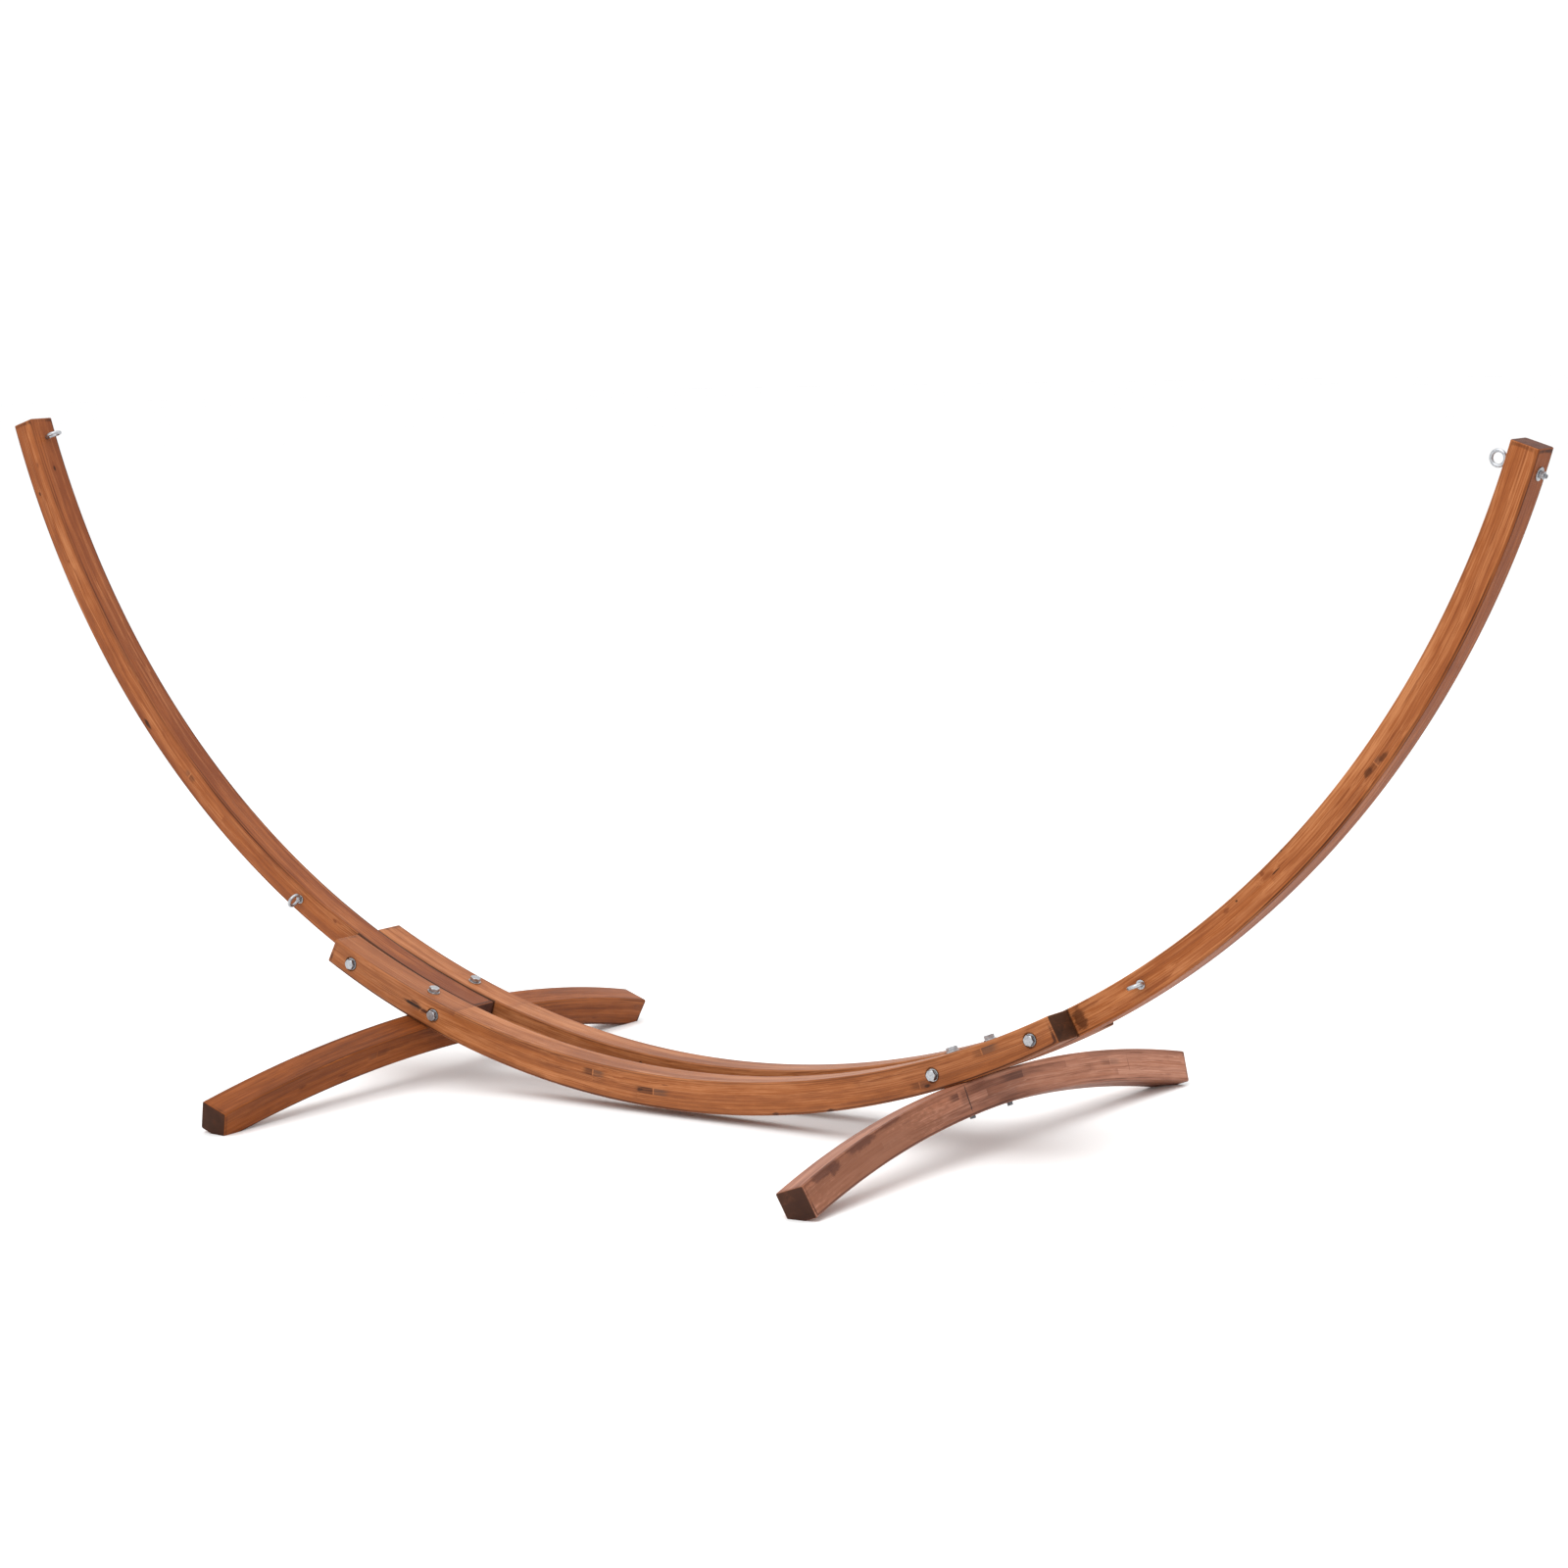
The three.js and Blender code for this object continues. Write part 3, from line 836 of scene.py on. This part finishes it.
def end_grain_material(name, colours):
    """Wood that is sawn across its grain: dark, dull, with its rings and pores in view."""
    shader = Shader(name)
    grain = shader.attribute("grain", "Vector")
    along, across, out = grain.split()
    layer, glue = layer_of(out)
    tone = shader.combine(layer, END_SEED, along.math("SIGN")).random()
    # Each layer has its own pith, which lies outside the board.
    pith = shader.combine(tone * 0.12 - 0.06, 0.055, 0.0)
    from_pith = (shader.combine(across, out, 0.0) + pith).length()
    radius = grain.noise(2.0, scale=90.0) * (4 * MM) + from_pith
    late_wood = late_wood_at(radius, RING_SPACING["end"], 0.3)
    pores = grain.noise(3.0, 0.7, 1500.0)
    taken = grain.noise(3.0, scale=55.0) * 1.1 - (0.55 - 0.12)
    for value, gain in ((late_wood, 0.14), (pores, 0.5), (tone, 0.25), (glue, 0.25)):
        taken = value * gain + taken
    base = taken.ramp((0.0, colours["deep"]), (0.45, colours["cut"]), (1.0, colours["burnt"]))
    rubbed = shader.attribute("edge").smooth(0.6, 1.0) * 0.30
    base = shader.mix(rubbed, base, colours["main"])
    normal = (late_wood * 0.4 + pores).bump(0.5, 0.4 * MM)
    return shader.finish(base, pores * 0.3 + 0.55, normal, {"Specular IOR Level": 0.12})


# ---- Zinc-plated steel ----

ZINC = {"dull": (0.30, 0.31, 0.33), "main": (0.45, 0.46, 0.48), "bright": (0.56, 0.56, 0.54)}
# Thread grooves are painted darker towards their roots.
ZINC_BLUE, GROOVE_DARK = (0.30, 0.32, 0.35), (0.09, 0.09, 0.10)


def zinc_material(name, seed, dark_grooves=None):
    """Bright zinc plating: cool and pale, cloudy in its gloss, finely scratched."""
    shader = Shader(name)
    place = shader.object_place() + (seed, seed * 0.7, 0.0)
    clouds = place.noise(4.0, scale=180.0)
    fine = place.noise(3.0, 0.65, 1400.0)
    scratched = (place * (3200.0, 260.0, 700.0)).noise(2.0).smooth(0.62, 0.72)
    tint = clouds.ramp((0.30, ZINC["dull"]), (0.55, ZINC["main"]), (0.80, ZINC["bright"]))
    tint = shader.mix(fine * 0.22, tint, ZINC_BLUE)
    if dark_grooves is not None:
        tint = shader.mix(shader.attribute("groove") * dark_grooves, tint, GROOVE_DARK)
    roughness = scratched * 0.12 + (clouds * 0.28 + 0.24)
    normal = (scratched * -0.6 + fine).bump(0.18, 0.08 * MM)
    return shader.finish(tint, roughness, normal, {"Metallic": 1.0})


# ---- Metal meshes: along Z, with the bearing face at 0 ----


def hex_reach(flats, angle):
    """Distance from a hexagon's middle to its outline."""
    sector = (angle + math.pi / 6) % (math.pi / 3) - math.pi / 6
    return flats / 2 / math.cos(sector)


def hex_ring(flats, height, turn, limit=None, slope=math.tan(math.radians(30))):
    """A hexagonal ring. With a limit, its corners drop by the chamfer that is turned on them."""
    ring = []
    for k in range(HEX_AROUND):
        angle = 2 * math.pi * k / HEX_AROUND
        radius = hex_reach(flats, angle)
        drop = 0 if limit is None else max(0.0, radius - limit) * slope
        ring.append((radius * math.cos(angle + turn), radius * math.sin(angle + turn), height - drop))
    return ring


def round_rings(turn, *sizes):
    return [round_ring(radius, height, HEX_AROUND, turn) for radius, height in sizes]


def head_mesh(flats, height, turn):
    """A bolt head: a hexagon on a thin washer face, its corners turned off at the top."""
    limit = flats / 2 * HEX_CHAMFER
    face, lip = 0.4 * MM, 0.25 * MM
    rings = [
        *round_rings(turn, (limit, 0), (limit, face)),
        hex_ring(flats - 2 * lip, face, turn),
        hex_ring(flats, face + lip, turn),
        hex_ring(flats, height, turn, limit),
        *round_rings(turn, (limit, height), (limit - 0.5 * MM, height),
                     (limit * 0.55, height - 0.15 * MM)),
    ]
    return [v for ring in rings for v in ring], tube_faces(len(rings), HEX_AROUND)


def nut_mesh(flats, height, thread, turn):
    """A nut: a hexagon with both ends turned off, and a threaded bore with a countersunk mouth."""
    limit = flats / 2 * HEX_CHAMFER
    bore, mouth = thread["radius"] + 0.15 * MM, 0.9 * MM
    wide, inside = bore + mouth * 0.8, height - 2 * mouth
    rings = [
        *round_rings(turn, (bore, mouth), (wide, 0), (limit, 0)),
        [(x, y, -z) for x, y, z in hex_ring(flats, 0, turn, limit)],
        hex_ring(flats, height, turn, limit),
        *round_rings(turn, (limit, height), (wide, height), (bore, height - mouth)),
    ]
    steps = max(4, round(inside / thread["pitch"] * 4))
    for step in range(1, steps):
        level = height - mouth - inside * step / steps
        groove = thread["depth"] * 0.6 * (0.5 + 0.5 * math.sin(2 * math.pi * level / thread["pitch"]))
        rings += round_rings(turn, (bore + groove, level))
    return [v for ring in rings for v in ring], tube_faces(len(rings), HEX_AROUND, closed=True)


def washer_mesh(inner, outer, thickness):
    """A stamped washer with soft edges, a little rounder on its upper face."""
    soft, rim, bevel = 0.45 * MM, 0.2 * MM, 0.25 * MM
    profile = [(inner + rim, 0), (outer - rim, 0), (outer, rim)]
    profile += [(outer - inwards, thickness - down) for inwards, down in rounded(soft)]
    profile += [(inner + bevel, thickness), (inner, thickness - bevel), (inner, rim)]
    return lathe(profile, 64, closed=True)


def thread_mesh(thread, low, high, plain_from, around=32):
    """A shank along Z with a thread cut from its low end upwards, and a chamfered end.

    Above plain_from the shank is plain. The third value is each point's depth in the groove.
    """
    radius, pitch, depth = thread["radius"], thread["pitch"], thread["depth"]
    step = pitch / 8
    rows = [low] + [low + step * k for k in range(1, int((plain_from - low) / step))]
    rows += [plain_from, high]
    vertices, grooves = [], []
    for level in rows:
        fade = min(1.0, (plain_from - level) / (2 * pitch)) if level < plain_from else 0.0
        chamfer = max(0.0, depth * 1.3 - (level - low))
        for k in range(around):
            angle = 2 * math.pi * k / around
            phase = (level / pitch - k / around) % 1.0
            groove = max(depth * (1 - abs(2 * phase - 1)) * fade, chamfer)
            size = radius - groove
            vertices.append((size * math.cos(angle), size * math.sin(angle), level))
            grooves.append(groove / depth)
    return vertices, tube_faces(len(rows), around), grooves


def joined(*parts):
    """Several closed meshes as one list of vertices and faces."""
    vertices, faces = [], []
    for part_vertices, part_faces in parts:
        base = len(vertices)
        vertices += list(part_vertices)
        faces += [tuple(base + i for i in face) for face in part_faces]
    return vertices, faces


def eye_mesh(around=96, wire=32):
    """A forged eye: its ring in the XZ plane, and a neck that runs smoothly into the shank."""
    ring = []
    for k in range(around):
        turn = 2 * math.pi * k / around
        for j in range(wire):
            angle = 2 * math.pi * j / wire
            radius = RING_RADIUS + WIRE_RADIUS * math.cos(angle)
            ring.append((radius * math.cos(turn), WIRE_RADIUS * math.sin(angle), radius * math.sin(turn)))
    neck = lathe([(radius * MM, height * MM) for radius, height in NECK], 40)
    mesh = mesh_from("eye", *joined((ring, tube_faces(around, wire, closed=True)), neck))
    finish_mesh(mesh)
    piece = new_piece("eye", mesh)
    remesh = piece.modifiers.new("blend", "REMESH")
    remesh.mode = "VOXEL"
    remesh.voxel_size = 0.5 * MM
    remesh.adaptivity = 0.0
    soften = piece.modifiers.new("soften", "SMOOTH")
    soften.factor = 0.5
    soften.iterations = 7
    apply_modifiers(piece)
    mesh = piece.data
    vertices = [v.co.copy() for v in mesh.vertices]
    faces = [tuple(face.vertices) for face in mesh.polygons]
    bpy.data.objects.remove(piece)
    bpy.data.meshes.remove(mesh)
    return vertices, faces


# ---- The wooden pieces ----


def rail_arc(face):
    """The rear rail is the front rail turned about the vertical, so its first direction is -X."""
    way = FACES[face]
    return Arc((0, -way * rail_middle, bow_height), BOW_RADIUS, X * way, -Z, Y * way)


def arm_arc(side):
    """The left arm is the right one turned about the vertical, so its front is its other side."""
    way = SIDES[side]
    return Arc((way * arm_centre.x, 0, arm_centre.z), ARM_RADIUS, X * way, -Z, Y * way)


def foot_arc(side):
    """A foot arches in the plane that is square to the bow at its angle. Outwards is upwards.

    The left foot is the right one turned about the vertical.
    """
    way = SIDES[side]
    up = Vector((-way * math.sin(FOOT_ANGLE), 0, math.cos(FOOT_ANGLE)))
    crown = Vector((0, 0, bow_height)) - up * (rail_seat - crown_cut)
    return Arc(crown - up * FOOT_TOP_RADIUS, FOOT_RADIUS, Y * way, up, (Y * way).cross(up))


def bow_point(angle, y=0.0):
    return Vector((BOW_RADIUS * math.sin(angle), y, bow_height - BOW_RADIUS * math.cos(angle)))


def rail_cutters(face):
    """Holes for the through bolts, recessed on the outer side, and for the foot bolts."""
    way = FACES[face]
    outside = -way * (rail_middle + RAIL_WIDTH / 2)
    cutters = []
    for side in (-1, 1):
        for angle in THROUGH_ANGLES:
            mouth = placement(bow_point(side * angle, outside), Vector((0, -way, 0)))
            cutters.append((*recessed_drill(BOLT_HOLE, RAIL_WIDTH + 10 * MM), mouth))
        angle = side * FOOT_ANGLE
        inward = Vector((-math.sin(angle), 0, math.cos(angle)))
        upright = placement(bow_point(angle, -way * rail_middle), inward)
        cutters.append((*drill(BOLT_HOLE, 2 * RAIL_MID_DEPTH), upright))
    return cutters


def arm_cutters(side):
    """Holes for the through bolts and for the two eye bolts."""
    arc = arm_arc(side)
    cutters = []
    for angle in THROUGH_ANGLES:
        place = placement(bow_point(SIDES[side] * angle), Y)
        cutters.append((*drill(BOLT_HOLE, 2 * ARM_WIDTH), place))
    lower, tip = middle(f"{side}_lower_eye_rear_nut"), middle(f"{side}_tip_eye_nut")
    for centre, axis in ((lower, Y), (tip, tip - arc.centre)):
        cutters.append((*drill(EYE_HOLE, 3 * ARM_WIDTH), placement(centre, axis)))
    return cutters


def foot_cutters(side):
    """The flat seat on the crown comes first, and the floor last. Each bolt hole has a deep recess
    below, which hides the nut.
    """
    arc = foot_arc(side)
    recess = lathe([(RECESS_RADIUS, -FOOT_DEPTH), (RECESS_RADIUS, 0)], 56)
    seat = arc.point(0, 0, FOOT_DEPTH / 2) - arc.outwards * crown_cut
    cutters = [(*block((-1, -1, 0), (1, 1, 0.1)), placement(seat, arc.outwards))]
    for face in FACES:
        top = middle(f"{side}_{face}_foot_bolt_head_washer")
        cutters.append((*drill(BOLT_HOLE, 1.0), placement(top, arc.outwards)))
        washer = f"{side}_{face}_foot_bolt_nut_washer"
        seat = middle(washer) + arc.outwards * reach(washer, middle(washer), arc.outwards)[1]
        cutters.append((*recess, placement(seat + arc.outwards * GAP, arc.outwards)))
    cutters.append((*block((-3, -2, -1), (3, 2, 0)), Matrix.Identity(4)))
    return cutters


def seen_from(centre, point):
    """The angle of a point of the bow's right half, from straight down under a centre."""
    return math.atan2(point.x - centre.x, centre.z - point.z)


def rail_seam():
    """Where an arm lies against a rail: at one of its sides, in metres along it."""
    arm_start = arm_arc("right").point(ARM_START_ANGLE, 0, 0)
    start = BOW_RADIUS * seen_from(Vector((0, 0, bow_height)), arm_start)
    return dict(side=RAIL_WIDTH / 2, both_sides=False, width=2 * MM, start=start,
                end=BOW_RADIUS * RAIL_END_ANGLE)


def arm_seam():
    """Where the rails lie against an arm: at both of its sides, in metres along it."""
    end = ARM_RADIUS * seen_from(arm_centre, bow_point(RAIL_END_ANGLE))
    return dict(side=ARM_WIDTH / 2, both_sides=True, width=5 * MM,
                start=ARM_RADIUS * ARM_START_ANGLE, end=end)


def make_rails():
    ends = end_grain_material("rail_end_grain", STAINS["bow"])
    for face in FACES:
        wooden(f"{face}_rail", rail_arc(face), (-RAIL_END_ANGLE, RAIL_END_ANGLE), RAIL_WIDTH,
               rail_depth, rail_cutters(face), ends, rail_seam())


def make_arms():
    ends = end_grain_material("arm_end_grain", ARM_ENDS)
    for side in SIDES:
        wooden(f"{side}_arm", arm_arc(side), (ARM_START_ANGLE, ARM_TIP_ANGLE), ARM_WIDTH,
               lambda angle: ARM_DEPTH, arm_cutters(side), ends, arm_seam())


def make_feet():
    half = FOOT_HALF_LENGTH / FOOT_TOP_RADIUS
    for side in SIDES:
        # The left foot's end grain takes its darker copy too, with the same painted shade.
        ends = end_grain_material(f"{side}_foot_end_grain", STAINS[f"{side}_foot"])
        wooden(f"{side}_foot", foot_arc(side), (-half, half), FOOT_WIDTH,
               lambda angle: FOOT_DEPTH, foot_cutters(side), ends)


# ---- The metal pieces ----


def metal(node, body, vertices, faces, matrix, material, grooves=None):
    name = f"{node}_steel"
    mesh = mesh_from(name, vertices, faces)
    if grooves is not None:
        attribute = mesh.attributes.new("groove", "FLOAT", "POINT")
        attribute.data.foreach_set("value", np.array(grooves, np.float32))
    mesh.transform(matrix)
    finish_mesh(mesh, sharp=math.radians(28), merge=False)
    mesh.materials.append(material)
    piece = new_piece(name, mesh)
    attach(piece, body)
    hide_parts(node)


def seated(node, axis):
    """A matrix whose Z is the axis, with a node's bearing face at 0, and the node's height."""
    centre = middle(node)
    low, high = reach(node, centre, axis)
    return placement(centre + axis * low, axis), high - low


def add_washer(node, body, axis, inner, material):
    matrix, thickness = seated(node, axis)
    box_low, box_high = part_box(node)
    half_diagonal = (box_high - box_low).length / 2
    outer = math.sqrt((half_diagonal ** 2 - (thickness / 2) ** 2) / 2)
    metal(node, body, *washer_mesh(inner, outer, thickness), matrix, material)


def add_nut(node, body, axis, flats, thread, turn, material):
    matrix, height = seated(node, axis)
    metal(node, body, *nut_mesh(flats, height, thread, turn), matrix, material)


def any_turn(draw):
    """A hexagon may have come to rest at any angle."""
    return draw.uniform(0, math.pi / 3)


def add_bolt(node, plain, threaded, draw):
    """A hex bolt with its two washers and its nut. Its axis joins the two washers."""
    top, bottom = middle(f"{node}_head_washer"), middle(f"{node}_nut_washer")
    axis = (top - bottom).normalized()
    add_washer(f"{node}_head_washer", "frame", axis, BOLT_HOLE, plain)
    add_washer(f"{node}_nut_washer", "frame", -axis, BOLT_HOLE, plain)
    add_nut(f"{node}_nut", "frame", -axis, FRAME_FLATS, FRAME_THREAD, any_turn(draw), plain)
    low, high = reach(node, top, axis)
    seat = high - FRAME_HEAD_HEIGHT
    end, into_head = low - seat, 0.2 * MM
    head = head_mesh(FRAME_FLATS, FRAME_HEAD_HEIGHT, any_turn(draw))
    shank = thread_mesh(FRAME_THREAD, end, into_head, end + THREAD_SHOWN["frame"])
    grooves = [0.0] * len(head[0]) + shank[2]
    matrix = placement(top + axis * seat, axis)
    metal(node, "frame", *joined(head, shank[:2]), matrix, threaded, grooves)


def ring_normal(node, centre, axis):
    """The direction square to an eye's ring, from the spread of the ring's own points."""
    points = mesh_points(frame["nodes"][node].data) - np.array(centre)
    heights = points @ np.array(axis)
    from_axis = np.linalg.norm(points - np.outer(heights, np.array(axis)), axis=1)
    near = np.linalg.norm(points, axis=1) < RING_RADIUS + 1.5 * WIRE_RADIUS
    ring = points[near & (from_axis > EYE_HOLE)]
    ring = np.vstack([ring, -ring])
    return Vector(np.linalg.svd(ring, full_matrices=False)[2][2])


def add_eye(name, joint, eye, plain, threaded, draw):
    """An eye bolt with its washers and its nut. Its joint stands at the ring's centre."""
    centre, axis = Vector(joint["pos_m"]), Vector(joint["axis"]).normalized()
    body = joint["child"]
    bolt = f"{name}_bolt"
    low = reach(bolt, centre, axis)[0]
    neck_end = NECK[0][1] * MM
    shank = thread_mesh(EYE_THREAD, low, neck_end + 1 * MM, min(low + THREAD_SHOWN["eye"], neck_end))
    grooves = [0.0] * len(eye[0]) + shank[2]
    matrix = placement(centre, axis, ring_normal(bolt, centre, axis).cross(axis))
    metal(bolt, body, *joined(eye, shank[:2]), matrix, threaded, grooves)
    for node in frame["nodes"]:
        if not node.startswith(name):
            continue
        beyond_arm = (middle(node) - centre).dot(axis) < -ARM_DEPTH
        away = -axis if beyond_arm else axis
        if node.endswith("_washer"):
            add_washer(node, "frame", away, EYE_HOLE, plain)
        if node.endswith("_nut"):
            add_nut(node, body, away, EYE_FLATS, EYE_THREAD, any_turn(draw), plain)


def make_metal():
    draw = random.Random(12)
    plain = zinc_material("zinc", 0.0)
    frame_threads = zinc_material("zinc_frame_threads", 0.3, dark_grooves=0.4)
    eye_threads = zinc_material("zinc_eye_threads", 0.6, dark_grooves=0.75)
    for node in sorted(frame["nodes"]):
        if node.endswith(("_through_bolt", "_foot_bolt")):
            add_bolt(node, plain, frame_threads, draw)
    eye = eye_mesh()
    for joint in frame["joints"]:
        add_eye(joint["child"], joint, eye, plain, eye_threads, draw)


# ---- Studio ----

# The photograph's viewing angles, in degrees. The shift holds its slightly off-centre framing.
AZIMUTH, ELEVATION, ROLL = 34.01, 7.97, -1.01
AIM, DISTANCE = Vector((0.430, 0, 0.625)), 7.451
LENS, SENSOR, SHIFT = 91.97, 36, (-0.0625, 0.0125)

# Each light's place, what it points at, its width and its power.
LIGHTS = {
    "key": ((0.6, -4.8, 5.6), (0, 0, 0.5), 6.0, 230),
    "top": ((0.5, 0.5, 7.0), (0, 0, 0), 8.0, 160),
}
SURROUNDINGS = 1.12
FLOOR_RINGS = (0.5, 2, 5, 12, 40)
FLOOR_GREYS = (0.88, 0.91)


def make_camera():
    azimuth, elevation, roll = (math.radians(d) for d in (AZIMUTH, ELEVATION, ROLL))
    back = Vector((math.sin(azimuth) * math.cos(elevation), -math.cos(azimuth) * math.cos(elevation),
                   math.sin(elevation)))
    data = bpy.data.cameras.new("camera")
    data.sensor_width = SENSOR
    data.lens = LENS
    data.shift_x, data.shift_y = SHIFT
    camera = bpy.data.objects.new("camera", data)
    bpy.context.scene.collection.objects.link(camera)
    camera.location = AIM + back * DISTANCE
    camera.rotation_mode = "QUATERNION"
    level = (-back).to_track_quat("-Z", "Y")
    camera.rotation_quaternion = level @ Matrix.Rotation(roll, 3, "Z").to_quaternion()
    bpy.context.scene.camera = camera


def studio_floor(around=96):
    """A wide, plain, pale floor, which the white surroundings take up where it ends."""
    points = [v for radius in FLOOR_RINGS for v in round_ring(radius, 0, around)]
    mesh = mesh_from("floor", points, tube_faces(len(FLOOR_RINGS), around, last_cap=False))
    mesh.shade_smooth()
    shader = Shader("studio_white")
    low, high = ((grey, grey, grey) for grey in FLOOR_GREYS)
    pale = shader.object_place().noise(2.0, scale=3.0).ramp((0.0, low), (1.0, high))
    mesh.materials.append(shader.finish(pale, 0.9, None, {"Specular IOR Level": 0.1}))
    new_piece("floor", mesh)


def area_light(name, location, target, size, power):
    data = bpy.data.lights.new(name, "AREA")
    data.shape = "DISK"
    data.size = size
    data.energy = power
    light = bpy.data.objects.new(name, data)
    light.location = location
    light.rotation_mode = "QUATERNION"
    light.rotation_quaternion = (Vector(target) - Vector(location)).to_track_quat("-Z", "Y")
    bpy.context.scene.collection.objects.link(light)


def make_light():
    world = bpy.data.worlds.new("studio")
    bpy.context.scene.world = world
    world.use_nodes = True
    background = world.node_tree.nodes["Background"]
    background.inputs["Color"].default_value = (1.0, 1.0, 1.0, 1.0)
    background.inputs["Strength"].default_value = SURROUNDINGS
    for name, settings in LIGHTS.items():
        area_light(name, *settings)
    bpy.context.scene.view_settings.view_transform = "Standard"
    bpy.context.scene.view_settings.look = "None"


make_camera()
make_light()
studio_floor()
make_rails()
make_arms()
make_feet()
make_metal()
